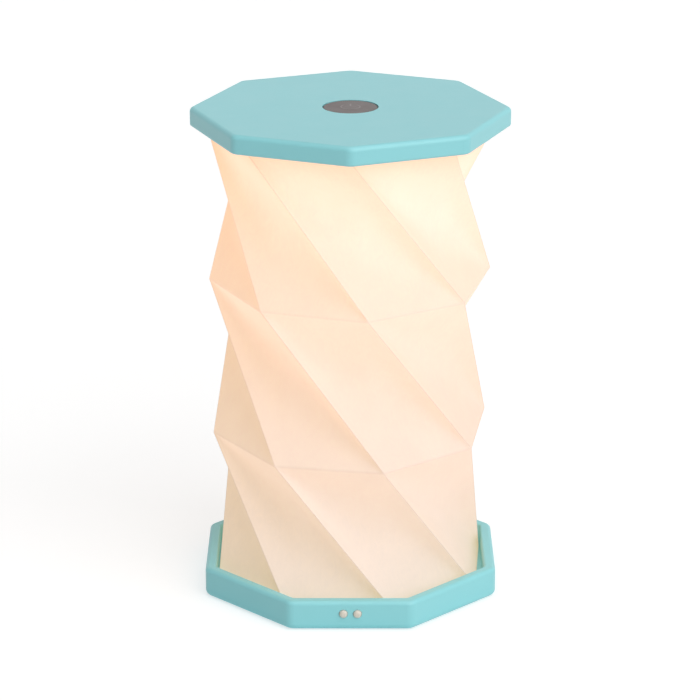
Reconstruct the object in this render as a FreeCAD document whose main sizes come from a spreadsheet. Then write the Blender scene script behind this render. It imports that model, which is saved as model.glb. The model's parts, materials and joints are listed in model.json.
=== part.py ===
import FreeCAD, Part

# A folding table lamp: an octagonal tray base, a twist-folded paper shade in three tiers, and an
# octagonal lid that holds the light and the power button. Pressing the lid down folds the shade
# flat into the tray, and turns the lid as it goes.
# Millimetres. The origin is on the table, under the middle of the lamp. The two indicator lights
# face the front, -Y, and the charging socket is at the back, +Y.

import math
import os
import re

import Sketcher
from FreeCAD import Placement, Rotation, Vector

SIDES = 8
TIERS = 3
LED_COUNT = 12
SCREW_COUNT = 4
FOOT_COUNT = 4
PAIR_COUNT = 2
DRIVER_COUNT = 3
ARC_SHARE = 0.45
MATCH_SHARE = 1e-5
UP = Vector(0, 0, 1)

# Driving dimensions: name, millimetres (or degrees), what it is.
SIZES = [
    ("across_flats", 105.7, "lid and base, flat to flat"),
    ("total_height", 178.4, "table to the top of the open lamp"),
    ("corner_round", 4.5, "rounding of the eight upright corners"),
    ("tier_angle", 52.5, "degrees that each tier of the open shade turns"),
    ("fit_gap", 0.25, "clearance of a cover or lens in its opening"),
    ("overrun", 1, "how far a cut runs past the face it opens"),
    # Base tray
    ("base_height", 11, "tray, without its feet"),
    ("base_wall", 1.6, "outer wall of the tray"),
    ("base_edge_round", 2.2, "bottom outer edge of the tray"),
    ("rim_width", 4, "width of the rim's top"),
    ("rim_inner_wall", 1.2, "inner wall of the hollow rim"),
    ("rim_top_wall", 1.6, "top wall of the hollow rim"),
    ("rim_round", 1.6, "outer edge of the rim's top"),
    ("rim_lip_round", 0.8, "inner edge of the rim's top"),
    ("rim_corner_round", 2, "upright corners inside the rim"),
    ("floor_wall", 0.9, "tray floor"),
    ("cover_land", 3, "tray's underside beside the bottom cover"),
    ("cover_wall", 0.9, "bottom cover"),
    ("foot_stand", 0.3, "rubber foot below the cover"),
    ("foot_seat", 0.3, "rubber foot inside its recess"),
    ("foot_diameter", 9, "rubber foot"),
    ("foot_gap", 0.1, "clearance of a foot in its recess"),
    ("foot_inset", 13, "foot centre from the outer flat"),
    # Fasteners
    ("boss_diameter", 5, "screw boss"),
    ("screw_diameter", 2, "screw shank"),
    ("screw_head_diameter", 3.6, "screw head"),
    ("screw_head_height", 1, "pan head above its seat"),
    ("screw_slack", 0.06, "radial clearance round a screw"),
    ("sink_height", 0.6, "countersunk head of a cover screw"),
    ("cover_screw_inset", 7.75, "cover screw from the outer flat"),
    ("cover_screw_bite", 2.4, "cover screw inside its boss"),
    ("boss_room", 3.88, "screw boss to the end of the cell beside it"),
    ("boss_floor", 0.2, "lower ring's boss below its screw hole"),
    ("ring_screw_bite", 2.2, "ring screw below the tray floor's top or in the lid's boss"),
    ("screw_tip_room", 0.2, "hole beyond a screw's tip"),
    # Paper shade and its clamp rings
    ("shade_gap", 1.8, "shade's lower edge to the rim's inner wall"),
    ("shade_wall", 0.5, "folded paper, measured along a radius"),
    ("hem_width", 5, "edge of the shade turned in under a ring"),
    ("hem_wall", 0.3, "turned-in edge, thickness"),
    ("hem_screw_gap", 0.9, "turned-in edge to a ring screw"),
    ("ring_inset", 3.4, "shade edge to clamp ring"),
    ("ring_width", 7, "clamp ring"),
    ("ring_wall", 1.2, "clamp ring, thickness"),
    # Power: cells, board, socket and indicator lights
    ("cell_width", 29, "flat cell, across"),
    ("cell_length", 44, "flat cell, front to back"),
    ("cell_slack", 0.3, "cell below the tray floor"),
    ("cell_gap", 2, "cell to board"),
    ("cell_round", 0.8, "edges of a cell"),
    ("tab_width", 4, "cell tab"),
    ("tab_wall", 0.15, "cell tab, thickness"),
    ("tab_lap", 2, "cell tab on the board"),
    ("tab_spread", 9, "cell tab from the middle of its cell"),
    ("board_width", 14, "charging board"),
    ("board_wall", 0.8, "charging board, thickness"),
    ("board_room", 0.3, "board end to the outer wall"),
    ("post_diameter", 4, "post that holds the board down"),
    ("post_reach", 32, "post from the middle"),
    ("socket_width", 7.6, "charging socket"),
    ("socket_height", 2.4, "charging socket"),
    ("socket_depth", 5.6, "charging socket, front to back"),
    ("socket_shell", 0.3, "socket wall"),
    ("socket_headroom", 0.1, "socket to the cover and to the tray floor"),
    ("socket_recess", 0.4, "socket's mouth behind the wall's face"),
    ("socket_round", 0.8, "socket's corners"),
    ("socket_room", 0.2, "clearance round the socket"),
    ("tongue_wall", 0.6, "contact tongue in the socket"),
    ("tongue_margin", 1.2, "tongue's side to the shell"),
    ("tongue_short", 1, "tongue's tip behind the mouth"),
    ("chip_size", 5, "charging chip, square"),
    ("chip_height", 0.9, "charging chip"),
    ("chip_reach", 20, "charging chip behind the middle"),
    ("coil_size", 4, "coil, square"),
    ("coil_height", 1.4, "coil"),
    ("lens_diameter", 3, "indicator light's round face"),
    ("lens_dome", 1, "indicator light in front of the wall"),
    ("lens_pitch", 5, "between the two indicator lights"),
    ("lens_drop", 4.7, "indicator light below the rim's top"),
    ("lens_gap", 0.1, "clearance of an indicator light in its hole"),
    ("guide_gap", 0.15, "upright leg of a light pipe to the rim's two walls"),
    ("guide_width", 2.6, "upright leg of a light pipe, across"),
    ("signal_size", 2, "indicator LED, across"),
    ("signal_depth", 1.2, "indicator LED, front to back"),
    ("signal_height", 0.7, "indicator LED"),
    # Inner lead
    ("lead_diameter", 2, "lead between base and lid"),
    ("lead_gap", 0.1, "clearance of the lead in its grommet"),
    ("lead_exit", 14, "lead's hole in front of the middle"),
    ("grommet_neck", 5, "grommet in the floor's hole"),
    ("grommet_flange", 7.5, "grommet's flange"),
    ("grommet_top", 0.8, "upper flange"),
    ("grommet_under", 0.6, "lower flange"),
    ("terminal_size", 5, "lead terminal on the charging board"),
    ("terminal_height", 1, "lead terminal"),
    # Lid
    ("lid_height", 6.9, "lid"),
    ("lid_top_wall", 1.4, "lid's top"),
    ("lid_side_wall", 1.8, "lid's side"),
    ("lid_edge_round", 1.7, "top edge of the lid"),
    ("lid_lower_round", 0.9, "bottom edge of the lid"),
    ("plate_wall", 1.2, "plate that closes the lid from below"),
    ("lamp_board_lap", 1.5, "edge of the round LED board on the diffuser's lip"),
    ("lamp_board_wall", 0.8, "round board, thickness"),
    ("led_inset", 5, "middle of an LED inside the edge of the diffuser's window"),
    ("led_gap", 0.1, "LED above the diffuser"),
    ("led_length", 3, "LED, along the circle"),
    ("led_width", 2.4, "LED, across"),
    ("led_height", 0.6, "LED"),
    ("driver_reach", 20, "driver parts from the middle"),
    ("driver_size", 4, "driver part, square"),
    ("driver_height", 0.8, "driver part"),
    ("diffuser_diameter", 54, "window of the diffuser"),
    ("diffuser_flange", 3, "diffuser's edge on the plate"),
    ("diffuser_flange_wall", 0.5, "diffuser's edge, thickness"),
    ("diffuser_lip", 1.5, "lip that carries the board"),
    # Switch and button
    ("button_diameter", 19.4, "power button"),
    ("button_recess", 0.1, "button below the lid's top"),
    ("button_web", 1.2, "button's crown"),
    ("button_round", 0.4, "button's edge"),
    ("button_flange", 1.5, "flange that keeps the button in"),
    ("button_flange_wall", 0.8, "flange, thickness"),
    ("button_hollow", 14, "hollow under the crown"),
    ("button_travel", 0.4, "button's stroke"),
    ("guide_ring_wall", 1.2, "ring that guides the button and holds the board"),
    ("switch_size", 6, "switch, square"),
    ("switch_height", 1, "switch"),
    ("plunger_diameter", 3, "switch plunger"),
    ("plunger_gap", 0.05, "clearance round the plunger"),
    ("plunger_sink", 0.4, "plunger inside the switch at rest"),
    ("stroke_room", 0.1, "plunger's hole beyond its stroke"),
    # Jack and plug, on the lamp's axis
    ("jack_diameter", 9, "jack"),
    ("jack_drop", 3, "jack below the lid"),
    ("pin_diameter", 3.4, "plug pin"),
    ("pin_gap", 0.05, "running clearance of the pin in the jack"),
    ("pin_length", 3.6, "plug pin in the jack"),
    ("pin_tip_room", 0.2, "bore beyond the pin"),
    ("pin_root", 1.6, "plug pin inside the plug"),
    ("plug_diameter", 8, "plug"),
    ("plug_wall", 0.1, "plug above and below its sleeve"),
    ("boot_diameter", 3, "sleeve where the lead leaves the plug"),
    ("boot_length", 3, "sleeve beyond the plug"),
]

# Levels above the table, half widths and other lengths that follow from the driving dimensions.
DERIVED = {
    "half_flats": "across_flats / 2",
    "tray_bottom": "foot_stand",
    "rim_top": "foot_stand + base_height",
    "bay_height": "socket_height + 2 * socket_headroom",
    "rim_depth": "base_height - cover_wall - bay_height - floor_wall",
    "floor_top": "rim_top - rim_depth",
    "floor_under": "floor_top - floor_wall",
    "cover_top": "foot_stand + cover_wall",
    "tray_inner": "half_flats - rim_width",
    "bay_inner": "half_flats - base_wall",
    "cover_opening": "half_flats - cover_land",
    "board_top": "cover_top + board_wall",
    "shade_flat": "tray_inner - shade_gap",
    "shade_radius": "shade_flat / cos(180deg / %d)" % SIDES,
    "lid_under": "total_height - lid_height",
    "shade_height": "lid_under - floor_top",
    "ring_flat": "shade_flat - ring_inset",
    "ring_screw_reach": "shade_flat - hem_width - hem_screw_gap - screw_diameter / 2",
    "ring_corner": "ring_screw_reach / cos(180deg / %d)" % SIDES,
    "ring_boss_height": "ring_screw_bite + screw_tip_room + boss_floor - floor_wall",
    "cover_screw_reach": "half_flats - cover_screw_inset",
    "screw_side": "cell_length / 2 + boss_room + boss_diameter / 2",
    "ring_screw_x": "sqrt(ring_screw_reach ^ 2 - screw_side ^ 2)",
    "cover_screw_x": "sqrt(cover_screw_reach ^ 2 - screw_side ^ 2)",
    "cell_thickness": "bay_height - cell_slack",
    "cell_side": "board_width / 2 + cell_gap",
    "socket_bottom": "cover_top + socket_headroom",
    "socket_mouth": "half_flats - socket_recess",
    "lens_level": "rim_top - lens_drop",
    "rim_hollow": "rim_width - base_wall - rim_inner_wall",
    "guide_wall": "rim_hollow - 2 * guide_gap",
    "screw_hole": "screw_diameter / 2 + screw_slack",
    "lid_roof": "lid_height - lid_top_wall",
    "lamp_board_under": "plate_wall + led_gap + led_height",
    "lamp_board_top": "lamp_board_under + lamp_board_wall",
    "diffuser_hole": "jack_diameter / 2 + fit_gap",
    "diffuser_rim": "diffuser_diameter / 2 + diffuser_flange",
    "lamp_board_radius": "diffuser_rim - diffuser_lip + lamp_board_lap",
    "led_circle": "diffuser_diameter / 2 - led_inset",
    "button_top": "lid_height - button_recess",
    "button_under": "button_top - button_web",
    "flange_radius": "button_diameter / 2 + button_flange",
    "switch_top": "lamp_board_top + switch_height",
    "jack_height": "jack_drop + lamp_board_under",
    "plug_height": "boot_diameter + 2 * plug_wall",
    "lead_level": "lid_under - jack_drop - plug_height / 2",
    "terminal_top": "board_top + terminal_height",
    "lid_turn": "-%d * tier_angle * 1deg" % TIERS,
}

doc = FreeCAD.newDocument("FoldingLamp")
sheet = doc.addObject("Spreadsheet::Sheet", "Sizes")
for row, (alias, amount, meaning) in enumerate(SIZES, start=1):
    sheet.set("A%d" % row, alias)
    sheet.set("B%d" % row, str(amount))
    sheet.set("C%d" % row, meaning)
    sheet.setAlias("B%d" % row, alias)
doc.recompute()
ALIASES = {alias for alias, amount, meaning in SIZES}
nodes = []


def on_sheet(text):
    """The expression on the sheet for a sum written in the names above."""
    def cell(word):
        name = word.group(0)
        if name in DERIVED:
            return "(" + on_sheet(DERIVED[name]) + ")"
        return "Sizes." + name if name in ALIASES else name
    return re.sub(r"[a-z_]+", cell, text)


def number(text):
    """The value of a sum written in the names above."""
    amount = sheet.evalExpression(on_sheet(text))
    return float(getattr(amount, "Value", amount))


def bind(item, **sums):
    """Ties properties of an object to sums on the sheet."""
    for name, text in sums.items():
        item.setExpression(name.replace("__", "."), on_sheet(text))


def place(item, x="0", y="0", z="0", turn=None, prefix="Placement"):
    """Puts an object at a place, turned about the upright axis."""
    if turn is not None:
        setattr(item, prefix, Placement(Vector(), Rotation(UP, number(turn))))
        item.setExpression(prefix + ".Rotation.Angle", on_sheet(turn))
    for axis, text in zip("xyz", (x, y, z)):
        item.setExpression(prefix + ".Base." + axis, on_sheet(text))


def keep(item, label):
    """Takes an object as the sub-part of that name."""
    item.Label = label
    nodes.append(item)
    return item


def origin_item(body, role):
    return next(item for item in body.Origin.OriginFeatures if item.Role == role)


def new_body(label):
    return keep(doc.addObject("PartDesign::Body", label), label)


def attach(item, body, plane="XY_Plane", **offset):
    """Attaches a sketch or a solid feature to one of its body's planes, at an offset."""
    item.AttachmentSupport = (origin_item(body, plane), [""])
    item.MapMode = "FlatFace"
    place(item, prefix="AttachmentOffset", **offset)


def new_sketch(body, plane="XY_Plane", z="0"):
    sketch = body.newObject("Sketcher::SketchObject", "Sketch")
    attach(sketch, body, plane, z=z)
    return sketch


def measure(sketch, text, *constraint):
    """Adds a dimension to a sketch and ties it to the sheet."""
    index = sketch.addConstraint(Sketcher.Constraint(*constraint, number(text)))
    sketch.setExpression("Constraints[%d]" % index, on_sheet(text))


def octagon(sketch, flat):
    """A regular octagon about the sketch's origin, with flats square to both axes."""
    reach = number(flat) / math.cos(math.pi / SIDES)
    turns = [(k + 0.5) * 2 * math.pi / SIDES for k in range(SIDES)]
    corners = [Vector(reach * math.cos(turn), reach * math.sin(turn), 0) for turn in turns]
    sides = []
    for k in range(SIDES):
        sides.append(sketch.addGeometry(Part.LineSegment(corners[k - 1], corners[k]), False))
    circle = sketch.addGeometry(Part.Circle(Vector(), UP, reach), True)
    sketch.addConstraint(Sketcher.Constraint("Coincident", circle, 3, -1, 1))
    for k in range(SIDES):
        sketch.addConstraint(Sketcher.Constraint("Coincident", sides[k - 1], 2, sides[k], 1))
        sketch.addConstraint(Sketcher.Constraint("PointOnObject", sides[k], 1, circle))
    for side in sides[1:]:
        sketch.addConstraint(Sketcher.Constraint("Equal", sides[0], side))
    sketch.addConstraint(Sketcher.Constraint("Vertical", sides[0]))
    measure(sketch, "(%s) / cos(180deg / %d)" % (flat, SIDES), "Radius", circle)


def circle(sketch, radius):
    """A circle about the sketch's origin."""
    round_edge = sketch.addGeometry(Part.Circle(Vector(), UP, number(radius)), False)
    sketch.addConstraint(Sketcher.Constraint("Coincident", round_edge, 3, -1, 1))
    measure(sketch, radius, "Radius", round_edge)


def rectangle(sketch, width, height):
    """A rectangle about the sketch's origin."""
    x = number(width) / 2
    y = number(height) / 2
    corners = [Vector(-x, -y, 0), Vector(x, -y, 0), Vector(x, y, 0), Vector(-x, y, 0)]
    lines = []
    for k in range(4):
        lines.append(sketch.addGeometry(Part.LineSegment(corners[k - 1], corners[k]), False))
    for k in range(4):
        sketch.addConstraint(Sketcher.Constraint("Coincident", lines[k - 1], 2, lines[k], 1))
        sketch.addConstraint(Sketcher.Constraint("Horizontal" if k % 2 else "Vertical", lines[k]))
    sketch.addConstraint(Sketcher.Constraint("Symmetric", lines[1], 1, lines[2], 2, -1, 1))
    measure(sketch, width, "DistanceX", lines[1], 1, lines[1], 2)
    measure(sketch, height, "DistanceY", lines[2], 1, lines[2], 2)


def outline(sketch, points):
    """A closed outline through points given as sums of the sizes, none of them below zero."""
    spots = [Vector(number(x), number(y), 0) for x, y in points]
    lines = []
    for k in range(len(spots)):
        lines.append(sketch.addGeometry(Part.LineSegment(spots[k - 1], spots[k]), False))
    for k, (x, y) in enumerate(points):
        sketch.addConstraint(Sketcher.Constraint("Coincident", lines[k], 2, lines[(k + 1) % len(lines)], 1))
        for text, axis, kind in ((x, -2, "DistanceX"), (y, -1, "DistanceY")):
            if text == "0":
                sketch.addConstraint(Sketcher.Constraint("PointOnObject", lines[k], 2, axis))
            else:
                measure(sketch, text, kind, -1, 1, lines[k], 2)


def extrude(body, kind, sketch, length, upward):
    """A Pad or a Pocket of a sketch that goes up or down from it."""
    feature = body.newObject("PartDesign::" + kind, kind)
    feature.Profile = sketch
    feature.Reversed = upward if kind == "Pocket" else not upward
    bind(feature, Length=length)
    doc.recompute()
    return feature


def plate(body, flats, level, height):
    """An upright octagonal plate, or a ring between two octagons."""
    sketch = new_sketch(body, z=level)
    for flat in flats:
        octagon(sketch, flat)
    return extrude(body, "Pad", sketch, height, True)


def hollow(body, flats, level, height):
    """An octagonal hollow, or an octagonal groove between two octagons, cut upwards from a level."""
    sketch = new_sketch(body, z=level)
    for flat in flats:
        octagon(sketch, flat)
    return extrude(body, "Pocket", sketch, height, True)


def spin(body, points):
    """A solid of revolution about the upright axis: points are radius and height."""
    sketch = new_sketch(body, "XZ_Plane")
    outline(sketch, points)
    feature = body.newObject("PartDesign::Revolution", "Revolution")
    feature.Profile = sketch
    feature.ReferenceAxis = (sketch, ["V_Axis"])
    doc.recompute()
    return feature


def column(body, kind, radius, height, x="0", y="0", z="0", plane="XY_Plane"):
    """A cylinder square to a plane, Additive or Subtractive, in a body."""
    feature = body.newObject("PartDesign::%sCylinder" % kind, "Column")
    attach(feature, body, plane, x=x, y=y, z=z)
    bind(feature, Radius=radius, Height=height)
    doc.recompute()
    return feature


def block_cut(body, width, depth, height, x, y, z):
    """A box taken out of a body, from its lowest corner."""
    feature = body.newObject("PartDesign::SubtractiveBox", "Cut")
    attach(feature, body, x=x, y=y, z=z)
    bind(feature, Length=width, Width=depth, Height=height)
    doc.recompute()
    return feature


def around(body, feature, count):
    """Repeats a feature round the upright axis."""
    pattern = body.newObject("PartDesign::PolarPattern", "PolarPattern")
    pattern.Originals = [feature]
    pattern.Axis = (origin_item(body, "Z_Axis"), [""])
    pattern.Angle = 360
    pattern.Occurrences = count
    body.Tip = pattern
    doc.recompute()
    return pattern


def round_edges(body, radius, wanted):
    """Rounds the edges of a body's last feature that a test picks."""
    base = body.Tip
    names = ["Edge%d" % k for k, edge in enumerate(base.Shape.Edges, start=1) if wanted(edge)]
    feature = body.newObject("PartDesign::Fillet", "Fillet")
    feature.Base = (base, names)
    bind(feature, Radius=radius)
    doc.recompute()
    return feature


def near(value, text):
    return math.isclose(value, number(text), abs_tol=number("overrun") * MATCH_SHARE)


def upright(edge):
    """Whether an edge is straight and upright."""
    first, last = edge.Vertexes[0].Point, edge.Vertexes[-1].Point
    rise = abs(last.z - first.z)
    return len(edge.Vertexes) == 2 and (last - first).cross(UP).Length < rise * MATCH_SHARE


def level_edge(edge, level, least, most=None):
    """Whether an edge lies at a level, with its middle between two octagons about the axis."""
    box = edge.BoundBox
    middle = edge.valueAt((edge.FirstParameter + edge.LastParameter) / 2)
    turns = [2 * math.pi * k / SIDES for k in range(SIDES)]
    flat = max(middle.x * math.cos(turn) + middle.y * math.sin(turn) for turn in turns)
    inside = most is None or flat < number(most)
    return near(box.ZMin, level) and near(box.ZMax, level) and flat > number(least) and inside


def part_item(kind, sizes, turned=None, **spot):
    """A primitive solid with its sizes and place tied to the sheet."""
    item = doc.addObject("Part::" + kind, kind)
    bind(item, **sizes)
    if turned is not None:
        item.Placement = Placement(Vector(), turned)
    place(item, **spot)
    return item


def join(*items):
    fused = doc.addObject("Part::MultiFuse", "Fusion")
    fused.Shapes = list(items)
    return fused


def group(label, items):
    """Separate like solids in one sub-part."""
    compound = doc.addObject("Part::Compound", label)
    compound.Links = list(items)
    return keep(compound, label)


def ring_spots(reach, count, first_turn="0deg"):
    """Places round the upright axis, as sums for x and y."""
    turns = ["(%s + 360deg * %d / %d)" % (first_turn, k, count) for k in range(count)]
    return [("(%s) * cos(%s)" % (reach, turn), "(%s) * sin(%s)" % (reach, turn)) for turn in turns]


def base_screw_spots(x):
    """The base's four screw places, beyond the ends of the cells, as sums for x and y."""
    return [(right + x, back + "screw_side") for right in ("", "-") for back in ("", "-")]


def lid_screw_spots(count, turn="0deg"):
    """Screw places at the clamp ring's corners, as sums for x and y."""
    return ring_spots("ring_corner", count, "%s + 180deg / %d" % (turn, SIDES))


def at_base_screws(body, x, make):
    """Makes a feature at the two right-hand screw places, and repeats each across the axis."""
    for spot in base_screw_spots(x)[:PAIR_COUNT]:
        around(body, make(*spot), PAIR_COUNT)


def base_tray():
    """Tray with a hollow rim; under its floor is the bay for the cells and the board."""
    body = new_body("base_tray")
    rim_middle = "half_flats - rim_width / 2"
    plate(body, ["half_flats"], "tray_bottom", "base_height")
    round_edges(body, "corner_round", upright)
    hollow(body, ["tray_inner"], "floor_top", "rim_depth + overrun")
    round_edges(body, "rim_corner_round", lambda edge: upright(edge)
                and near(edge.BoundBox.ZMin, "floor_top"))
    round_edges(body, "rim_round", lambda edge: level_edge(edge, "rim_top", rim_middle))
    round_edges(body, "rim_lip_round", lambda edge: level_edge(edge, "rim_top", "0", rim_middle))
    round_edges(body, "base_edge_round", lambda edge: level_edge(edge, "tray_bottom", "tray_inner"))
    hollow(body, ["cover_opening"], "tray_bottom", "cover_wall")
    hollow(body, ["bay_inner"], "cover_top", "bay_height")
    hollow(body, ["bay_inner", "bay_inner - rim_hollow"], "floor_under",
           "rim_top - rim_top_wall - floor_under")
    tray_bosses(body)
    column(body, "Subtractive", "grommet_neck / 2", "floor_wall + 2 * overrun",
           y="-lead_exit", z="floor_under - overrun")
    for side in ("-1", "1"):
        column(body, "Subtractive", "lens_diameter / 2 + lens_gap", "base_wall + 2 * overrun",
               side + " * lens_pitch / 2", "lens_level", "bay_inner - overrun", "XZ_Plane")
    block_cut(body, "socket_width + 2 * socket_room", "base_wall + 2 * overrun",
              "socket_height + 2 * socket_room", "-socket_width / 2 - socket_room", "bay_inner - overrun",
              "socket_bottom - socket_room")


def tray_bosses(body):
    """Bosses under the tray floor for the cover and the lower ring, and posts on the board."""
    boss = "boss_diameter / 2"
    at_base_screws(body, "cover_screw_x", lambda x, y: column(
        body, "Additive", boss, "bay_height", x, y, "cover_top"))
    depth = "cover_screw_bite + screw_tip_room"
    at_base_screws(body, "cover_screw_x", lambda x, y: column(
        body, "Subtractive", "screw_hole", depth, x, y, "cover_top"))
    at_base_screws(body, "ring_screw_x", lambda x, y: column(
        body, "Additive", boss, "ring_boss_height", x, y, "floor_under - ring_boss_height"))
    sunk = "ring_screw_bite + screw_tip_room"
    at_base_screws(body, "ring_screw_x", lambda x, y: column(
        body, "Subtractive", "screw_hole", sunk + " + overrun", x, y, "floor_top - (%s)" % sunk))
    post = column(body, "Additive", "post_diameter / 2", "floor_under - board_top",
                  y="post_reach", z="board_top")
    around(body, post, PAIR_COUNT)


def screw_sink(body, x, y):
    """Countersink in the cover's underside."""
    sink = body.newObject("PartDesign::SubtractiveCone", "Sink")
    attach(sink, body, x=x, y=y, z="tray_bottom")
    bind(sink, Radius1="screw_head_diameter / 2 + screw_slack", Radius2="screw_hole", Height="sink_height")
    doc.recompute()
    return sink


def bottom_cover():
    """Plate that closes the bay from below, with sunk screw holes and recesses for the feet."""
    body = new_body("bottom_cover")
    plate(body, ["cover_opening - fit_gap"], "tray_bottom", "cover_wall")
    at_base_screws(body, "cover_screw_x", lambda x, y: column(
        body, "Subtractive", "screw_hole", "cover_wall + 2 * overrun", x, y, "tray_bottom - overrun"))
    at_base_screws(body, "cover_screw_x", lambda x, y: screw_sink(body, x, y))
    recess = column(body, "Subtractive", "foot_diameter / 2 + foot_gap", "foot_seat",
                    *ring_spots("half_flats - foot_inset", 1)[0], "tray_bottom")
    around(body, recess, FOOT_COUNT)


def rubber_feet():
    """Round rubber feet, stuck into their recesses."""
    sizes = {"Radius": "foot_diameter / 2", "Height": "foot_stand + foot_seat"}
    spots = ring_spots("half_flats - foot_inset", FOOT_COUNT)
    group("rubber_feet", [part_item("Cylinder", sizes, x=x, y=y) for x, y in spots])


def cover_screws():
    """Countersunk screws, from below through the cover into the tray's bosses."""
    screws = []
    for x, y in base_screw_spots("cover_screw_x"):
        head = part_item("Cone", {"Radius1": "screw_head_diameter / 2", "Radius2": "screw_diameter / 2",
                                  "Height": "sink_height"}, x=x, y=y, z="tray_bottom")
        shank = part_item("Cylinder", {"Radius": "screw_diameter / 2",
                                       "Height": "cover_wall + cover_screw_bite"},
                          x=x, y=y, z="tray_bottom")
        screws.append(join(head, shank))
    group("cover_screws", screws)


def cells():
    """Two flat pouch cells, one each side of the board, and the tabs that join them to it."""
    for label, side in (("battery_left", "-1"), ("battery_right", "1")):
        body = new_body(label)
        sketch = new_sketch(body)
        rectangle(sketch, "cell_width", "cell_length")
        extrude(body, "Pad", sketch, "cell_thickness", True)
        round_edges(body, "cell_round", lambda edge: True)
        place(body, side + " * (cell_side + cell_width / 2)", "0", "cover_top")
    sizes = {"Length": "cell_gap + tab_lap", "Width": "tab_width", "Height": "tab_wall"}
    tabs = []
    for left in ("board_width / 2 - tab_lap", "-cell_side"):
        for spread in ("1", "-1"):
            tabs.append(part_item("Box", sizes, x=left, y=spread + " * tab_spread - tab_width / 2",
                                  z="board_top"))
    group("battery_tabs", tabs)


def charge_board():
    """Long board from the indicator lights at the front to the socket at the back."""
    body = new_body("charge_board")
    sketch = new_sketch(body, z="cover_top")
    rectangle(sketch, "board_width", "2 * (bay_inner - board_room)")
    extrude(body, "Pad", sketch, "board_wall", True)
    block_cut(body, "socket_width + 2 * socket_room", "socket_depth + socket_room + overrun",
              "board_wall + 2 * overrun", "-socket_width / 2 - socket_room",
              "socket_mouth - socket_depth - socket_room", "cover_top - overrun")
    chip = part_item("Box", {"Length": "chip_size", "Width": "chip_size", "Height": "chip_height"},
                     x="-chip_size / 2", y="chip_reach - chip_size / 2", z="board_top")
    coil = part_item("Box", {"Length": "coil_size", "Width": "coil_size", "Height": "coil_height"},
                     x="-coil_size / 2", y="chip_reach - 2 * chip_size", z="board_top")
    group("charge_parts", [chip, coil])
    terminal = part_item("Box", {"Length": "terminal_size", "Width": "terminal_size",
                                 "Height": "terminal_height"},
                         x="-terminal_size / 2", y="-lead_exit - terminal_size / 2", z="board_top")
    keep(terminal, "lead_terminal")


def charging_socket():
    """Shell of the charging socket with its contact tongue; its mouth faces the back."""
    body = new_body("charging_socket")
    sketch = new_sketch(body, "XZ_Plane")
    rectangle(sketch, "socket_width", "socket_height")
    extrude(body, "Pad", sketch, "socket_depth", True)
    round_edges(body, "socket_round", lambda edge: edge.BoundBox.YLength > number("socket_depth") / 2)
    sketch = new_sketch(body, "XZ_Plane", z="socket_depth")
    rectangle(sketch, "socket_width - 2 * socket_shell", "socket_height - 2 * socket_shell")
    extrude(body, "Pocket", sketch, "socket_depth - socket_shell", False)
    tongue = body.newObject("PartDesign::AdditiveBox", "Tongue")
    attach(tongue, body, x="-socket_width / 2 + tongue_margin", y="-socket_depth + tongue_short",
           z="-tongue_wall / 2")
    bind(tongue, Length="socket_width - 2 * tongue_margin", Width="socket_depth - tongue_short",
         Height="tongue_wall")
    doc.recompute()
    place(body, "0", "socket_mouth - socket_depth", "socket_bottom + socket_height / 2", turn="180deg")


def indicator_lights():
    """Two LEDs at the front of the board, and the bent light pipes that end in round lenses."""
    signals = []
    pipes = []
    middle = "-(bay_inner - rim_hollow / 2)"
    for side in ("-1", "1"):
        x = side + " * lens_pitch / 2"
        signals.append(part_item("Box", {"Length": "signal_size", "Width": "signal_depth",
                                         "Height": "signal_height"},
                                 x=x + " - signal_size / 2", y=middle + " - signal_depth / 2",
                                 z="board_top"))
        foot = "board_top + signal_height + lens_gap"
        leg = part_item("Box", {"Length": "guide_width", "Width": "guide_wall",
                                "Height": "lens_level + lens_diameter / 2 - (%s)" % foot},
                        x=x + " - guide_width / 2", y=middle + " - guide_wall / 2", z=foot)
        lens = part_item("Cylinder", {"Radius": "lens_diameter / 2",
                                      "Height": "half_flats + lens_dome + " + middle},
                         Rotation(Vector(1, 0, 0), 90), x=x, y=middle, z="lens_level")
        doc.recompute()
        rim = [k for k, edge in enumerate(lens.Shape.Edges, start=1)
               if near(edge.BoundBox.YMax, "-half_flats - lens_dome")]
        dome = doc.addObject("Part::Fillet", "Dome")
        dome.Base = lens
        dome.Edges = [(k, number("lens_dome"), number("lens_dome")) for k in rim]
        pipes.append(join(leg, dome))
    group("indicator_leds", signals)
    group("indicator_light_pipes", pipes)


def ring_hole(body, x, y):
    """Screw hole through a clamp ring."""
    return column(body, "Subtractive", "screw_hole", "ring_wall + 2 * overrun", x, y, "-overrun")


def clamp_ring(label):
    """Octagonal ring that clamps one of the shade's turned-in edges, drawn from its underside."""
    body = new_body(label)
    plate(body, ["ring_flat", "ring_flat - ring_width"], "0", "ring_wall")
    return body


def lower_ring():
    """Ring and screws that hold the shade to the tray floor."""
    ring = clamp_ring("lower_clamp_ring")
    at_base_screws(ring, "ring_screw_x", lambda x, y: ring_hole(ring, x, y))
    place(ring, z="floor_top + hem_wall")
    pan_screws("lower_ring_screws", base_screw_spots("ring_screw_x"), "floor_top + hem_wall + ring_wall",
               "floor_top - ring_screw_bite", "ring_screw_bite + hem_wall + ring_wall")


def upper_ring():
    """Ring and screws that hold the shade to the lid, and the lid's plate to its shell."""
    ring = clamp_ring("upper_clamp_ring")
    around(ring, ring_hole(ring, *lid_screw_spots(1)[0]), SCREW_COUNT)
    place(ring, z="lid_under - hem_wall - ring_wall", turn="lid_turn")
    pan_screws("upper_ring_screws", lid_screw_spots(SCREW_COUNT, "lid_turn"),
               "lid_under - hem_wall - ring_wall - screw_head_height", "lid_under - hem_wall - ring_wall",
               "hem_wall + ring_wall + plate_wall + ring_screw_bite")


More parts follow.
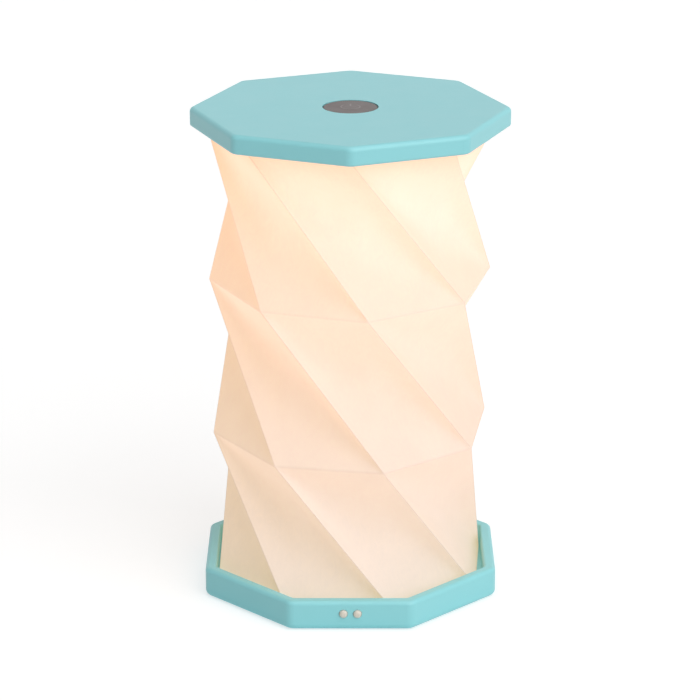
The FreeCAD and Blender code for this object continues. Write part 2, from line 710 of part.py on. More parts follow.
def pan_screws(label, spots, head_level, shank_level, shank_length):
    """Pan-head screws at the given places."""
    screws = []
    for x, y in spots:
        head = part_item("Cylinder", {"Radius": "screw_head_diameter / 2", "Height": "screw_head_height"},
                         x=x, y=y, z=head_level)
        shank = part_item("Cylinder", {"Radius": "screw_diameter / 2", "Height": shank_length},
                          x=x, y=y, z=shank_level)
        screws.append(join(head, shank))
    group(label, screws)


def folded_solid(radius, wall):
    """The solid inside a twist-folded skin: triangles between rings that turn tier by tier."""
    rings = []
    for tier in range(TIERS + 1):
        level = number("floor_top") + number("shade_height") * tier / TIERS
        first = math.pi / SIDES - math.radians(number("tier_angle")) * tier
        turns = [first + 2 * math.pi * k / SIDES for k in range(SIDES)]
        reach = radius - wall
        rings.append([Vector(reach * math.cos(turn), reach * math.sin(turn), level) for turn in turns])
    faces = []
    for low, high in zip(rings, rings[1:]):
        for k in range(SIDES):
            after = (k + 1) % SIDES
            for corners in ((low[k], low[after], high[k]), (high[k], low[after], high[after])):
                faces.append(Part.Face(Part.makePolygon([*corners, corners[0]])))
    for ring in (rings[0], rings[-1]):
        faces.append(Part.Face(Part.makePolygon([*ring, ring[0]])))
    return Part.makeSolid(Part.makeShell(faces))


def octagon_solid(flat, level, height, turn):
    """An upright octagonal prism, turned about its axis by radians."""
    reach = flat / math.cos(math.pi / SIDES)
    turns = [turn + (k + 0.5) * 2 * math.pi / SIDES for k in range(SIDES)]
    corners = [Vector(reach * math.cos(angle), reach * math.sin(angle), level) for angle in turns]
    return Part.Face(Part.makePolygon([*corners, corners[0]])).extrude(UP * height)


def paper_shade():
    """Folded paper shade: a thin skin, and its two edges turned in under the clamp rings."""
    low = number("floor_top")
    high = number("lid_under")
    hem = number("hem_wall")
    radius = number("shade_radius")
    room = octagon_solid(radius, low + hem, high - low - 2 * hem, 0)
    space = folded_solid(radius, number("shade_wall")).common(room)
    inner_flat = number("shade_flat - hem_width")
    space = space.fuse(octagon_solid(inner_flat, low, hem, 0))
    space = space.fuse(octagon_solid(inner_flat, high - hem, hem, math.radians(number("lid_turn"))))
    shade = keep(doc.addObject("Part::Feature", "paper_shade"), "paper_shade")
    shade.Shape = folded_solid(radius, 0).cut(space).Solids[0]
    shade.Placement = Placement()


def lead_route():
    """The loose lead's points, from the plug's sleeve down to the terminal under the tray floor."""
    start = Vector(0, -number("plug_diameter / 2 + boot_length"), number("lead_level"))
    end = Vector(0, -number("lead_exit"), number("terminal_top"))
    straight = Vector(0, -number("2 * boot_length"), 0)
    chosen = [(1, -18.5, 164.5), (4, -21, 157.5), (12, -16, 145), (18, -3, 128), (12, 13, 108), (-3, 18, 88),
              (-16, 8, 68), (-16, -6, 49), (-8, -15, 32), (-2, -16, 20)]
    loose = [Vector(*spot) for spot in chosen]
    return [start, start + straight, *loose, end + UP * number("rim_depth"), end]


def inner_lead():
    """Lead that feeds the lid from the base: straight runs joined by the largest arcs that fit."""
    spots = lead_route()
    radii = []
    edges = []
    reached = spots[0]
    for before, spot, after in zip(spots, spots[1:], spots[2:]):
        back = (before - spot).normalize()
        ahead = (after - spot).normalize()
        half_turn = (math.pi - back.getAngle(ahead)) / 2
        cut = ARC_SHARE * min((before - spot).Length, (after - spot).Length)
        radius = cut / math.tan(half_turn)
        inward = (back + ahead).normalize()
        middle = spot + inward * (radius / math.cos(half_turn) - radius)
        edges.append(Part.LineSegment(reached, spot + back * cut).toShape())
        edges.append(Part.Arc(spot + back * cut, middle, spot + ahead * cut).toShape())
        reached = spot + ahead * cut
        radii.append(radius)
    edges.append(Part.LineSegment(reached, spots[-1]).toShape())
    path = Part.Wire(edges)
    section = Part.Circle(spots[0], spots[1] - spots[0], number("lead_diameter / 2")).toShape()
    lead = keep(doc.addObject("Part::Feature", "inner_lead"), "inner_lead")
    lead.Shape = path.makePipeShell([Part.Wire([section])], True, False)
    lead.Placement = Placement()
    filled = lead.Shape.Volume / (path.Length * math.pi * number("lead_diameter / 2") ** 2)
    print("lead radii", ["%.1f" % radius for radius in radii])
    print("lead length %.1f, volume over section times length %.4f" % (path.Length, filled))


def lead_grommet():
    """Rubber grommet in the tray floor, round the lead."""
    body = new_body("lead_grommet")
    bore = "lead_diameter / 2 + lead_gap"
    spin(body, [(bore, "0"), ("grommet_flange / 2", "0"), ("grommet_flange / 2", "grommet_under"),
                ("grommet_neck / 2 - lead_gap", "grommet_under"),
                ("grommet_neck / 2 - lead_gap", "grommet_under + floor_wall"),
                ("grommet_flange / 2", "grommet_under + floor_wall"),
                ("grommet_flange / 2", "grommet_under + floor_wall + grommet_top"),
                (bore, "grommet_under + floor_wall + grommet_top")])
    place(body, "0", "-lead_exit", "floor_under - grommet_under")


def place_in_lid(item):
    """Puts a piece that is drawn from the lid's underside into the lid, turned as the shade turns."""
    place(item, z="lid_under", turn="lid_turn")


def lid_cover():
    """Lid's shell: rounded top, a hole for the button, its guide ring and the screw bosses."""
    body = new_body("lid_cover")
    plate(body, ["half_flats"], "0", "lid_height")
    round_edges(body, "corner_round", upright)
    round_edges(body, "lid_edge_round", lambda edge: level_edge(edge, "lid_height", "0"))
    round_edges(body, "lid_lower_round", lambda edge: level_edge(edge, "0", "0"))
    hollow(body, ["half_flats - lid_side_wall"], "0", "lid_roof")
    sketch = new_sketch(body, z="lid_roof")
    circle(sketch, "flange_radius + fit_gap + guide_ring_wall")
    circle(sketch, "flange_radius + fit_gap")
    extrude(body, "Pad", sketch, "lid_roof - lamp_board_top", False)
    column(body, "Subtractive", "button_diameter / 2 + fit_gap", "lid_top_wall + 2 * overrun",
           z="lid_roof - overrun")
    spot = lid_screw_spots(1)[0]
    boss = column(body, "Additive", "boss_diameter / 2", "lid_roof - plate_wall", *spot, "plate_wall")
    around(body, boss, SCREW_COUNT)
    depth = "ring_screw_bite + screw_tip_room"
    hole = column(body, "Subtractive", "screw_hole", depth, *spot, "plate_wall")
    around(body, hole, SCREW_COUNT)
    place_in_lid(body)


def lid_plate():
    """Plate that closes the lid from below, with a round opening for the diffuser."""
    body = new_body("lid_plate")
    plate(body, ["half_flats - lid_side_wall - fit_gap"], "0", "plate_wall")
    column(body, "Subtractive", "diffuser_diameter / 2 + fit_gap", "plate_wall + 2 * overrun", z="-overrun")
    hole = column(body, "Subtractive", "screw_hole", "plate_wall + 2 * overrun",
                  *lid_screw_spots(1)[0], "-overrun")
    around(body, hole, SCREW_COUNT)
    place_in_lid(body)


def light_diffuser():
    """Milky window under the LEDs; its edge lies on the plate and a lip carries the round board."""
    body = new_body("light_diffuser")
    window = "diffuser_diameter / 2"
    lip = "diffuser_rim - diffuser_lip"
    shelf = "plate_wall + diffuser_flange_wall"
    spin(body, [("diffuser_hole", "0"), (window, "0"), (window, "plate_wall"),
                ("diffuser_rim", "plate_wall"), ("diffuser_rim", "lamp_board_under"),
                (lip, "lamp_board_under"), (lip, shelf), (window, shelf),
                (window + " - diffuser_flange_wall", "plate_wall"), ("diffuser_hole", "plate_wall")])
    place_in_lid(body)


def lamp_board():
    """Round board with its ring of LEDs below and the driver parts above."""
    board = part_item("Cylinder", {"Radius": "lamp_board_radius", "Height": "lamp_board_wall"},
                      z="lid_under + lamp_board_under")
    keep(board, "lamp_board")
    leds = []
    for k in range(LED_COUNT):
        turn = "360deg * %d / %d" % (k, LED_COUNT)
        led = part_item("Box", {"Length": "led_width", "Width": "led_length", "Height": "led_height"})
        reach = "(led_circle - led_width / 2)"
        side = "(led_length / 2)"
        place(led, "%s * cos(%s) + %s * sin(%s)" % (reach, turn, side, turn),
              "%s * sin(%s) - %s * cos(%s)" % (reach, turn, side, turn),
              "lid_under + lamp_board_under - led_height", turn)
        leds.append(led)
    group("lamp_leds", leds)
    sizes = {"Length": "driver_size", "Width": "driver_size", "Height": "driver_height"}
    drivers = []
    for x, y in ring_spots("driver_reach", DRIVER_COUNT):
        drivers.append(part_item("Box", sizes, x=x + " - driver_size / 2", y=y + " - driver_size / 2",
                                 z="lid_under + lamp_board_top"))
    group("lamp_driver_parts", drivers)


def switch_and_button():
    """Switch on the round board, its plunger, and the button that rests on the plunger."""
    body = new_body("switch_body")
    sketch = new_sketch(body, z="lamp_board_top")
    rectangle(sketch, "switch_size", "switch_size")
    extrude(body, "Pad", sketch, "switch_height", True)
    plunger_bottom = "switch_top - plunger_sink"
    stroke = "(button_travel + stroke_room)"
    column(body, "Subtractive", "plunger_diameter / 2 + plunger_gap", "plunger_sink + overrun + " + stroke,
           z=plunger_bottom + " - " + stroke)
    place_in_lid(body)
    plunger = part_item("Cylinder", {"Radius": "plunger_diameter / 2",
                                     "Height": "button_under - (%s)" % plunger_bottom},
                        z="lid_under + " + plunger_bottom)
    keep(plunger, "switch_plunger")
    body = new_body("power_button")
    flange_under = "lid_roof - button_flange_wall"
    rise = "button_top - (%s)" % flange_under
    spin(body, [("button_hollow / 2", "0"), ("flange_radius", "0"), ("flange_radius", "button_flange_wall"),
                ("button_diameter / 2", "button_flange_wall"), ("button_diameter / 2", rise), ("0", rise),
                ("0", rise + " - button_web"), ("button_hollow / 2", rise + " - button_web")])
    round_edges(body, "button_round", lambda edge: level_edge(edge, rise, "0"))
    place(body, z="lid_under + " + flange_under)


def jack_and_plug():
    """Round jack under the lid's board, and the plug that the lid turns about as the lamp folds."""
    jack = new_body("lead_jack")
    bore = "pin_diameter / 2 + pin_gap"
    depth = "pin_length + pin_tip_room"
    spin(jack, [(bore, "0"), ("jack_diameter / 2", "0"), ("jack_diameter / 2", "jack_height"),
                ("0", "jack_height"), ("0", depth), (bore, depth)])
    place(jack, z="lid_under - jack_drop")
    pin = part_item("Cylinder", {"Radius": "pin_diameter / 2", "Height": "pin_root + pin_length"},
                    z="lid_under - jack_drop - pin_root")
    keep(pin, "plug_pin")
    plug = new_body("lead_plug")
    spin(plug, [("0", "0"), ("plug_diameter / 2", "0"), ("plug_diameter / 2", "plug_height"),
                ("pin_diameter / 2", "plug_height"), ("pin_diameter / 2", "plug_height - pin_root"),
                ("0", "plug_height - pin_root")])
    column(plug, "Additive", "boot_diameter / 2", "boot_length + plug_diameter / 2 - pin_diameter / 2",
           y="plug_height / 2", z="pin_diameter / 2", plane="XZ_Plane")
    place(plug, z="lid_under - jack_drop - plug_height")


def build():
    base_tray()
    bottom_cover()
    rubber_feet()
    cover_screws()
    cells()
    charge_board()
    charging_socket()
    indicator_lights()
    lower_ring()
    paper_shade()
    lead_grommet()
    inner_lead()
    lid_cover()
    lid_plate()
    upper_ring()
    light_diffuser()
    lamp_board()
    switch_and_button()
    jack_and_plug()
    doc.recompute()


def write():
    """Checks every object, then writes one file for each sub-part."""
    for item in doc.Objects:
        if {"Invalid", "Error"} & set(item.State):
            raise RuntimeError("%s (%s) did not build: %s" % (item.Label, item.Name, item.State))
    for item in nodes:
        if item.Shape.isNull() or not item.Shape.isValid():
            raise RuntimeError(item.Label + " has no valid shape")
    os.makedirs("parts", exist_ok=True)
    for item in nodes:
        item.Shape.exportStep(os.path.join("parts", item.Label + ".step"))
        print("%-24s solids %2d  volume %10.2f" % (item.Label, len(item.Shape.Solids), item.Shape.Volume))


build()
write()
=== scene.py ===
import json
import math

import bpy
import numpy as np
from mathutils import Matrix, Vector


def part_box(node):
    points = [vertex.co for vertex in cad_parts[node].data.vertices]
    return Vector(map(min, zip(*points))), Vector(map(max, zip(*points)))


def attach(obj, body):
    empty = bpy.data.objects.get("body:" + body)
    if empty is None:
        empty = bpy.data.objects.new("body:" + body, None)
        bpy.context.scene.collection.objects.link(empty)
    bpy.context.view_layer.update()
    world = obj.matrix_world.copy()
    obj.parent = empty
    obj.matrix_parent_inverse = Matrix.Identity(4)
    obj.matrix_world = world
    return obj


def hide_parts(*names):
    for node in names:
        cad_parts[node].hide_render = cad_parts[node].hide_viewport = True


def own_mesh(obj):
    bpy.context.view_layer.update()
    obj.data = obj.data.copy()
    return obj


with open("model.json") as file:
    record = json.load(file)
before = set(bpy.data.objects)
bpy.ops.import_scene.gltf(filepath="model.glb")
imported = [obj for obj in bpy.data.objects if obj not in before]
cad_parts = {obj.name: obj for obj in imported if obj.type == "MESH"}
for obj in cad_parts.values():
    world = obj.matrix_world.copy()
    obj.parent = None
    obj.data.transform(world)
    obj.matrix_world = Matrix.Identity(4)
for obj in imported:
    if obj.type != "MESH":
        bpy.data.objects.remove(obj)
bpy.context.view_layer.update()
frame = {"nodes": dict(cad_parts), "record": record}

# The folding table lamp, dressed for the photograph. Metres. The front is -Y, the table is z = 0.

# Camera, fitted to the photograph.
CAMERA_PLACE = (0.0, -1.0218, 0.43173)
CAMERA_AIM = (-0.00016, 0.0, 0.08766)
CAMERA_LENS = 152.75

# Paper shade: octagonal rings from the tray's floor up to the lid, each turned against the one below.
SIDES = 8
TIERS = 3
SIDE_TURN = 2 * math.pi / SIDES
FIRST_TURN = SIDE_TURN / 2
TIER_TURN = math.radians(-52.5)
SHADE_RADIUS = 0.050927
# The paper doesn't fold quite evenly: each ring's own turn in degrees, rise, and rise to the back.
RING_TURNS = (-4.0, -1.7, -0.6, 0.0)
RING_RISES = (0.0, 0.0004, 0.0011, 0.0)
RING_SLOPES = (0.0, 0.044, 0.047, 0.0)
PAPER_WALL = 0.0005
# The turned-in edges: their thickness, and how far in they reach as a share of the radius.
HEM_WALL = 0.0003
HEM_SHARE = 0.8937
# Points across a panel, and as shares of it: the narrow strip beside each fold, and the bow of the valley.
PANEL_STEPS = 22
CREASE_HALF = 0.012
VALLEY_SOFT = 0.60
PAPER_DARK = (0.378, 0.378, 0.450)
PAPER_LIGHT = (0.393, 0.393, 0.465)

# Light from the ring of LEDs in the lid, as it reaches the inside of the paper.
LED_COUNT = 12
LED_CIRCLE = 0.022
LED_REFERENCE = 2100.0
# Its colour: all over the paper, added towards the lid, and added where the LEDs shine straight on it.
GLOW_EVEN = (0.528, 0.390, 0.210)
GLOW_RISE = (0.300, 0.084, 0.000)
GLOW_DIRECT = (0.310, 0.182, 0.190)
# Share of the light that the pressed folds let through, along the panels' edges and round the rings.
FOLD_GLOW = 0.84
RING_GLOW = 0.92

# The lead inside the shade, from the plug under the lid down to the base.
LEAD_ROUTE = [
    (0.0, -0.007, 0.1669), (0.0, -0.013, 0.1669), (0.001, -0.0185, 0.1645), (0.004, -0.021, 0.1575),
    (0.012, -0.016, 0.145), (0.018, -0.003, 0.128), (0.012, 0.013, 0.108), (-0.003, 0.018, 0.088),
    (-0.016, 0.008, 0.068), (-0.016, -0.006, 0.049), (-0.008, -0.015, 0.032), (-0.002, -0.016, 0.020),
    (0.0, -0.014, 0.0096), (0.0, -0.014, 0.0030),
]
LEAD_RADIUS = 0.001

# Studio: white surroundings, broad far lamps, and a pale floor that keeps the shadow.
# A lamp is its name, degrees to the right of the camera, degrees up, strength and breadth in degrees.
AMBIENT = 0.22
LAMPS = [
    ("key", 40, 30, 1.44, 60),
    ("side", 80, 25, 0.12, 60),
    ("top", 20, 75, 0.95, 60),
]
FLOOR_REACH = 8.0
FLOOR_COLOUR = (0.50, 0.50, 0.50, 1.0)
# What the floor adds as light on the lamp, and as white in the picture.
FLOOR_GLOW = 0.31
FLOOR_LIFT = 0.64
# Beside the lamp the light from the floor takes some of its colour, less and less between these reaches.
FLOOR_TINT = (0.22, 0.80, 0.86)
FLOOR_TINT_REACH = (0.054, 0.070)

# Standby symbol on the button: a broken ring and a bar, which runs between two shares of the radius.
MARK_RADIUS = 0.0034
MARK_BAR = (0.35, 1.25)
MARK_STROKE = 0.00055
MARK_HEIGHT = 0.00004
MARK_GAP = math.radians(80)
MARK_STEPS = 48

WHITE = (1.0, 1.0, 1.0)
TINY = 1e-9


def new_material(name):
    """A material with one Principled shader; returns it, its node tree and the shader."""
    material = bpy.data.materials.new(name)
    material.use_nodes = True
    tree = material.node_tree
    return material, tree, tree.nodes["Principled BSDF"]


def noise(tree, scale, detail=4.0, stretch=(1, 1, 1), distortion=0.0):
    """Noise in the object's own coordinates; scale is in bumps to the metre."""
    place = tree.nodes.new("ShaderNodeTexCoord")
    mapping = tree.nodes.new("ShaderNodeMapping")
    mapping.inputs["Scale"].default_value = stretch
    texture = tree.nodes.new("ShaderNodeTexNoise")
    texture.inputs["Scale"].default_value = scale
    texture.inputs["Detail"].default_value = detail
    texture.inputs["Distortion"].default_value = distortion
    tree.links.new(place.outputs["Object"], mapping.inputs["Vector"])
    tree.links.new(mapping.outputs["Vector"], texture.inputs["Vector"])
    return texture.outputs["Fac"]


def spread(tree, source, low, high, start=0.3, end=0.7):
    """Maps a value from the range start to end onto the range low to high."""
    node = tree.nodes.new("ShaderNodeMapRange")
    node.inputs["From Min"].default_value = start
    node.inputs["From Max"].default_value = end
    node.inputs["To Min"].default_value = low
    node.inputs["To Max"].default_value = high
    tree.links.new(source, node.inputs["Value"])
    return node.outputs["Result"]


def ramp(tree, source, *stops):
    """A colour ramp; each stop is (place, colour)."""
    node = tree.nodes.new("ShaderNodeValToRGB")
    elements = node.color_ramp.elements
    while len(elements) < len(stops):
        elements.new(0.5)
    for element, (place, colour) in zip(elements, stops):
        element.position = place
        element.color = (*colour, 1.0)
    tree.links.new(source, node.inputs["Fac"])
    return node.outputs["Color"]


def combine(tree, operation, first, second):
    """Two values put together by a math operation."""
    node = tree.nodes.new("ShaderNodeMath")
    node.operation = operation
    tree.links.new(first, node.inputs[0])
    tree.links.new(second, node.inputs[1])
    return node.outputs[0]


def bump(tree, shader, source, distance, strength=1.0):
    """Relief on the shader from a noise value; distance is its height."""
    node = tree.nodes.new("ShaderNodeBump")
    node.inputs["Strength"].default_value = strength
    node.inputs["Distance"].default_value = distance
    tree.links.new(source, node.inputs["Height"])
    tree.links.new(node.outputs["Normal"], shader.inputs["Normal"])


def scaled(colour, share):
    """A colour made lighter or darker."""
    return tuple(min(1.0, part * share) for part in colour)


def moulded(name, colour, rough=(0.36, 0.46), grain=1400.0, relief=0.000012,
            shift=0.05, metal=0.0, gloss=0.5):
    """Moulded plastic, rubber or metal: slight cloudiness, uneven gloss and a fine surface grain."""
    material, tree, shader = new_material(name)
    cloud = noise(tree, 38.0, detail=5.0)
    tint = ramp(tree, cloud, (0.3, scaled(colour, 1 - shift)), (0.7, scaled(colour, 1 + shift)))
    tree.links.new(tint, shader.inputs["Base Color"])
    tree.links.new(spread(tree, noise(tree, 160.0), *rough), shader.inputs["Roughness"])
    bump(tree, shader, noise(tree, grain, detail=2.0), relief)
    shader.inputs["Metallic"].default_value = metal
    shader.inputs["Specular IOR Level"].default_value = gloss
    return material


def paper():
    """Cream paper with fibres, lit from inside; the glow at each point comes with the mesh."""
    material, tree, shader = new_material("shade_paper")
    cloud = noise(tree, 70.0, detail=6.0, distortion=0.4)
    fibre = noise(tree, 420.0, detail=6.0, stretch=(1, 1, 0.45), distortion=1.6)
    density = combine(tree, "MULTIPLY", spread(tree, cloud, 0.985, 1.015), spread(tree, fibre, 0.97, 1.03))
    tint = ramp(tree, cloud, (0.3, PAPER_DARK), (0.7, PAPER_LIGHT))
    tree.links.new(tint, shader.inputs["Base Color"])
    tree.links.new(spread(tree, fibre, 0.62, 0.80), shader.inputs["Roughness"])
    shader.inputs["Specular IOR Level"].default_value = 0.25
    glow = tree.nodes.new("ShaderNodeAttribute")
    glow.attribute_name = "glow"
    tree.links.new(glow.outputs["Color"], shader.inputs["Emission Color"])
    tree.links.new(density, shader.inputs["Emission Strength"])
    bump(tree, shader, fibre, 0.00003, strength=0.5)
    return material


def finishes():
    """One material for each slot of the record."""
    return {
        "aqua_plastic": moulded("aqua_plastic", (0.278, 0.685, 0.725), rough=(0.38, 0.42),
                                shift=0.006, gloss=0.62),
        "shade_paper": paper(),
        "grey_plastic": moulded("grey_plastic", (0.115, 0.092, 0.088), rough=(0.42, 0.52)),
        "milky_plastic": moulded("milky_plastic", (0.70, 0.63, 0.54), rough=(0.10, 0.16), gloss=0.8),
        "white_plastic": moulded("white_plastic", (0.76, 0.75, 0.72)),
        "black_plastic": moulded("black_plastic", (0.03, 0.03, 0.032)),
        "green_board": moulded("green_board", (0.03, 0.20, 0.10), rough=(0.25, 0.4), grain=600.0),
        "cell_foil": moulded("cell_foil", (0.68, 0.68, 0.70), rough=(0.25, 0.4), grain=250.0, metal=1.0),
        "steel": moulded("steel", (0.60, 0.60, 0.61), rough=(0.25, 0.38), metal=1.0),
        "led_phosphor": moulded("led_phosphor", (0.85, 0.70, 0.30), rough=(0.3, 0.4)),
        "rubber": moulded("rubber", (0.06, 0.06, 0.062), rough=(0.7, 0.85)),
        "lead_jacket": moulded("lead_jacket", (0.76, 0.75, 0.72), rough=(0.5, 0.6)),
        "plunger_plastic": moulded("plunger_plastic", (0.04, 0.04, 0.042)),
    }


def panel_steps():
    """Places across a panel, from fold to fold, with a narrow strip beside each fold."""
    inner = np.linspace(CREASE_HALF, 1 - CREASE_HALF, PANEL_STEPS - 1)
    return np.concatenate([[0.0], inner])


def ring_corner(ring, side, levels):
    """A corner of one of the shade's rings; ring 0 is at the tray's floor."""
    angle = FIRST_TURN + ring * TIER_TURN + math.radians(RING_TURNS[ring]) + side * SIDE_TURN
    x, y = SHADE_RADIUS * math.cos(angle), SHADE_RADIUS * math.sin(angle)
    return np.array([x, y, levels[ring] + RING_RISES[ring] + RING_SLOPES[ring] * y])


def panel_points(upper, upper_next, lower, lower_next, across, down):
    """Points on one panel: two flat triangles that meet in a rounded valley fold."""
    middle = ((across + down) / 2)[..., None]
    offset = across - down
    room = 1 - np.abs(1 - (across + down))
    width = np.maximum(VALLEY_SOFT * room, TINY)
    rounded = (offset ** 2 + width ** 2) / (2 * width)
    depth = np.where(np.abs(offset) < width, rounded, np.abs(offset))[..., None]
    right = (upper_next - upper) - (lower_next - upper_next)
    left = (lower - upper) - (lower_next - lower)
    return (upper + middle * (lower_next - upper)
            + offset[..., None] * (right - left) / 4 + depth * (right + left) / 4)


def shade_surface(levels):
    """The paper's outer face as a grid of points, rows from the lid down and columns round the shade."""
    steps = panel_steps()
    rows = []
    for ring in range(TIERS, 0, -1):
        down, across = np.meshgrid(steps, steps, indexing="ij")
        panels = []
        for side in range(SIDES):
            corners = [ring_corner(level, side + more, levels)
                       for level, more in ((ring, 0), (ring, 1), (ring - 1, 0), (ring - 1, 1))]
            panels.append(panel_points(*corners, across, down))
        rows.append(np.concatenate(panels, axis=1))
    foot = []
    for side in range(SIDES):
        start, end = ring_corner(0, side, levels), ring_corner(0, side + 1, levels)
        foot.append(start + steps[:, None] * (end - start))
    rows.append(np.concatenate(foot)[None])
    return np.concatenate(rows)


def drawn_in(points, share):
    """The same points nearer the lamp's axis."""
    return points * np.array([share, share, 1.0])


def with_level(points, level):
    """The same points at one height."""
    moved = points.copy()
    moved[..., 2] = level
    return moved


def shade_shell(levels):
    """Outer face, turned-in edges and inner face of the paper, as one closed grid of points."""
    outer = shade_surface(levels)
    reach = np.linalg.norm(outer[..., :2], axis=-1, keepdims=True)
    inner = outer.copy()
    inner[..., :2] *= (reach - PAPER_WALL) / reach
    inner[..., 2] = np.clip(inner[..., 2], levels[0] + HEM_WALL, levels[-1] - HEM_WALL)
    foot = drawn_in(outer[-1], HEM_SHARE)
    head = drawn_in(outer[0], HEM_SHARE)
    loop = [outer, foot[None], with_level(foot, levels[0] + HEM_WALL)[None], inner[::-1],
            with_level(head, levels[-1] - HEM_WALL)[None], head[None]]
    return outer, np.concatenate(loop)


def grid_mesh(name, grid):
    """A mesh from a grid of points that closes on itself both ways."""
    rows, columns = grid.shape[:2]
    index = np.arange(rows * columns).reshape(rows, columns)
    below, beside = np.roll(index, -1, axis=0), np.roll(index, -1, axis=1)
    across = np.roll(below, -1, axis=1)
    faces = np.stack([index, below, across, beside], axis=-1).reshape(-1, 4)
    mesh = bpy.data.meshes.new(name)
    mesh.from_pydata(grid.reshape(-1, 3).tolist(), [], faces.tolist())
    mesh.update()
    mesh.shade_smooth()
    return mesh


def lid_light(points, outward, level):
    """How strongly the lid's ring of LEDs shines on the inside of the paper at each point, from 0 to 1."""
    total = np.zeros(len(points))
    for number in range(LED_COUNT):
        angle = 2 * math.pi * number / LED_COUNT
        lamp = np.array([LED_CIRCLE * math.cos(angle), LED_CIRCLE * math.sin(angle), level])
        ray = lamp - points
        reach = np.linalg.norm(ray, axis=1)
        falling = np.maximum(ray[:, 2] / reach, 0)
        facing = np.maximum(-(outward * ray).sum(axis=1) / reach, 0)
        total += falling * facing / reach ** 2
    return 1 - np.exp(-total / LED_REFERENCE)


def crease_shares(shell, outer):
    """How much of its light each point lets through: 1 on the panels, less along the pressed folds."""
    shares = np.ones(shell.shape[:2])
    shares[:len(outer):PANEL_STEPS] = RING_GLOW
    shares[:, ::PANEL_STEPS] = FOLD_GLOW
    return shares.reshape(-1, 1)


def add_object(name, mesh, material):
    """Puts a mesh into the scene."""
    piece = bpy.data.objects.new(name, mesh)
    bpy.context.scene.collection.objects.link(piece)
    mesh.materials.append(material)
    return piece


def shade_glow(mesh, shell, outer, low, high):
    """Stores on the shade's points the light that comes through them."""
    points = shell.reshape(-1, 3)
    normals = np.empty(points.size)
    mesh.vertex_normals.foreach_get("vector", normals)
    outward = normals.reshape(-1, 3)
    reach = points[:, :2] / np.linalg.norm(points[:, :2], axis=1, keepdims=True)
    turned = np.where((outward[:, :2] * reach).sum(axis=1) < 0, -1.0, 1.0)[:, None]
    rise = (points[:, 2] - low) / (high - low)
    direct = lid_light(points, outward * turned, high)
    glow = np.array(GLOW_EVEN) + np.outer(rise, GLOW_RISE) + np.outer(direct, GLOW_DIRECT)
    glow *= crease_shares(shell, outer)
    colours = np.column_stack([glow, np.ones(len(glow))])
    attribute = mesh.attributes.new("glow", "FLOAT_COLOR", "POINT")
    attribute.data.foreach_set("color", colours.ravel().astype(np.float32))


def folded_shade(material):
    """The paper shade as it stands open, on the base in place of the CAD solid."""
    low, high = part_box("paper_shade")
    outer, shell = shade_shell(np.linspace(low.z, high.z, TIERS + 1))
    mesh = grid_mesh("folded_shade", shell)
    shade_glow(mesh, shell, outer, low.z, high.z)
    shade = add_object("folded_shade", mesh, material)
    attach(shade, "base")
    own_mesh(shade)
    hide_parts("paper_shade")


def lead(material):
    """The lead inside the shade: a tube along a smooth line through the route."""
    curve = bpy.data.curves.new("lead_line", "CURVE")
    curve.dimensions = "3D"
    curve.bevel_depth = LEAD_RADIUS
    curve.bevel_resolution = 4
    curve.resolution_u = 12
    curve.use_fill_caps = True
    spline = curve.splines.new("NURBS")
    spline.points.add(len(LEAD_ROUTE) - 1)
    for point, place in zip(spline.points, LEAD_ROUTE):
        point.co = (*place, 1.0)
    spline.order_u = 3
    spline.use_endpoint_u = True
    holder = bpy.data.objects.new("lead_line", curve)
    bpy.context.scene.collection.objects.link(holder)
    mesh = bpy.data.meshes.new_from_object(holder.evaluated_get(bpy.context.evaluated_depsgraph_get()))
    bpy.data.objects.remove(holder)
    mesh.name = "soft_lead"
    mesh.materials.clear()
    mesh.shade_smooth()
    piece = add_object("soft_lead", mesh, material)
    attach(piece, "base")
    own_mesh(piece)
    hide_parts("inner_lead")


def band(inner, outer, bottom, top):
    """A closed strip between two rows of points, as vertices and faces."""
    count = len(inner)
    points = [(*place, level) for level in (bottom, top) for row in (inner, outer) for place in row]
    low_in, low_out, top_in, top_out = (range(count * part, count * (part + 1)) for part in range(4))
    faces = []
    for one in range(count - 1):
        two = one + 1
        faces += [
            (top_in[one], top_out[one], top_out[two], top_in[two]),
            (low_in[one], low_in[two], low_out[two], low_out[one]),
            (low_out[one], low_out[two], top_out[two], top_out[one]),
            (low_in[one], top_in[one], top_in[two], low_in[two]),
        ]
    faces += [(low_in[0], low_out[0], top_out[0], top_in[0]),
              (low_in[-1], top_in[-1], top_out[-1], low_out[-1])]
    return points, faces


def standby_mark(material):
    """The symbol on the button: a ring open towards the back, and a bar in the opening."""
    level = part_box("power_button")[1].z
    angles = np.linspace(math.pi / 2 + MARK_GAP / 2, 5 * math.pi / 2 - MARK_GAP / 2, MARK_STEPS)
    rows = [[(reach * math.cos(angle), reach * math.sin(angle)) for angle in angles]
            for reach in (MARK_RADIUS - MARK_STROKE / 2, MARK_RADIUS + MARK_STROKE / 2)]
    ring_points, ring_faces = band(rows[0], rows[1], level, level + MARK_HEIGHT)
    half = MARK_STROKE / 2
    left, right = ([(x, share * MARK_RADIUS) for share in MARK_BAR] for x in (-half, half))
    bar_points, bar_faces = band(left, right, level, level + MARK_HEIGHT)
    shift = len(ring_points)
    mesh = bpy.data.meshes.new("standby_mark")
    mesh.from_pydata(ring_points + bar_points, [],
                     ring_faces + [tuple(corner + shift for corner in face) for face in bar_faces])
    mesh.update()
    mark = add_object("standby_mark", mesh, material)
    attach(mark, "button")


def dress(materials):
    """Gives each CAD node the material of its slot."""
    for part in frame["record"]["subparts"]:
        node = frame["nodes"][part["node"]]
        node.data.materials.clear()
        node.data.materials.append(materials[part["material_slot"]])


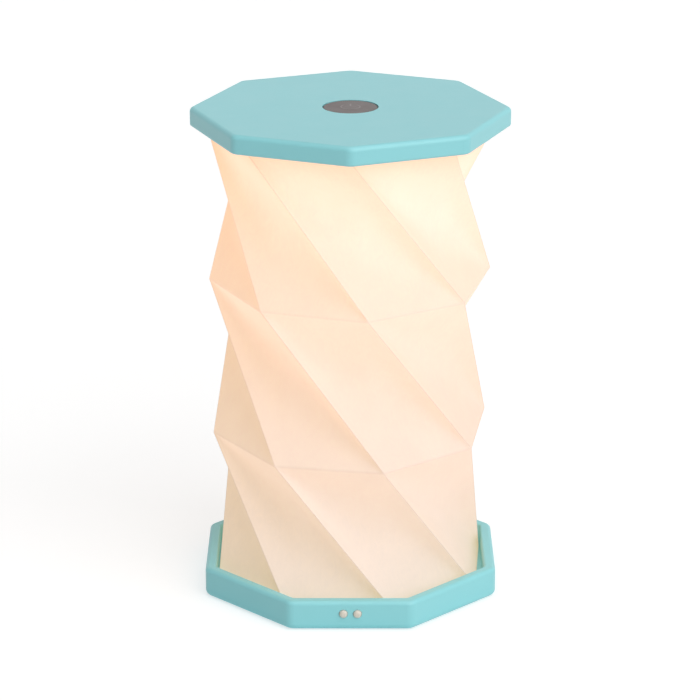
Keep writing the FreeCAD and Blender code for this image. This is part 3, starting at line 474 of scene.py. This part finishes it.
def studio_lamp(name, aside, up, strength, breadth):
    """A broad soft lamp, far off."""
    lamp = bpy.data.lights.new(name, "SUN")
    lamp.energy = strength
    lamp.angle = math.radians(breadth)
    aside, up = math.radians(aside), math.radians(up)
    source = Vector((math.sin(aside) * math.cos(up), -math.cos(aside) * math.cos(up), math.sin(up)))
    holder = bpy.data.objects.new(name, lamp)
    holder.rotation_euler = (-source).to_track_quat("-Z", "Y").to_euler()
    bpy.context.scene.collection.objects.link(holder)


def seen_directly(tree):
    """1 for what the camera sees directly, mirrored or through glass, and 0 for light on the object."""
    path = tree.nodes.new("ShaderNodeLightPath")
    direct = combine(tree, "MAXIMUM", path.outputs["Is Camera Ray"], path.outputs["Is Glossy Ray"])
    return combine(tree, "MAXIMUM", direct, path.outputs["Is Transmission Ray"])


def surroundings():
    """White surroundings and soft lamps."""
    world = bpy.data.worlds.new("studio")
    bpy.context.scene.world = world
    world.use_nodes = True
    tree = world.node_tree
    back = tree.nodes["Background"]
    back.inputs["Color"].default_value = (*WHITE, 1.0)
    tree.links.new(spread(tree, seen_directly(tree), AMBIENT, 1.0, 0.0, 1.0), back.inputs["Strength"])
    for lamp in LAMPS:
        studio_lamp(*lamp)


def pale_floor():
    """A pale floor that keeps the lamp's shadow."""
    mesh = bpy.data.meshes.new("floor")
    corners = [(x * FLOOR_REACH, y * FLOOR_REACH, 0) for x, y in ((-1, -1), (1, -1), (1, 1), (-1, 1))]
    mesh.from_pydata(corners, [], [(0, 1, 2, 3)])
    material, tree, shader = new_material("floor")
    shader.inputs["Base Color"].default_value = FLOOR_COLOUR
    shader.inputs["Roughness"].default_value = 0.9
    shader.inputs["Specular IOR Level"].default_value = 0.0
    place = tree.nodes.new("ShaderNodeTexCoord")
    reach = tree.nodes.new("ShaderNodeVectorMath")
    reach.operation = "LENGTH"
    tree.links.new(place.outputs["Object"], reach.inputs[0])
    seen = seen_directly(tree)
    away = spread(tree, reach.outputs["Value"], 0.0, 1.0, *FLOOR_TINT_REACH)
    tint = ramp(tree, combine(tree, "MAXIMUM", away, seen), (0.0, FLOOR_TINT), (1.0, WHITE))
    tree.links.new(tint, shader.inputs["Emission Color"])
    tree.links.new(spread(tree, seen, FLOOR_GLOW, FLOOR_LIFT, 0.0, 1.0), shader.inputs["Emission Strength"])
    floor = add_object("floor", mesh, material)


def camera():
    """The camera at the photograph's viewpoint."""
    lens = bpy.data.cameras.new("camera")
    lens.lens = CAMERA_LENS
    holder = bpy.data.objects.new("camera", lens)
    holder.location = CAMERA_PLACE
    holder.rotation_euler = (Vector(CAMERA_AIM) - Vector(CAMERA_PLACE)).to_track_quat("-Z", "Y").to_euler()
    bpy.context.scene.collection.objects.link(holder)
    bpy.context.scene.camera = holder


materials = finishes()
dress(materials)
folded_shade(materials["shade_paper"])
lead(materials["lead_jacket"])
standby_mark(moulded("mark_grey", (0.17, 0.145, 0.14)))
surroundings()
pale_floor()
camera()
bpy.context.scene.view_settings.view_transform = "Standard"
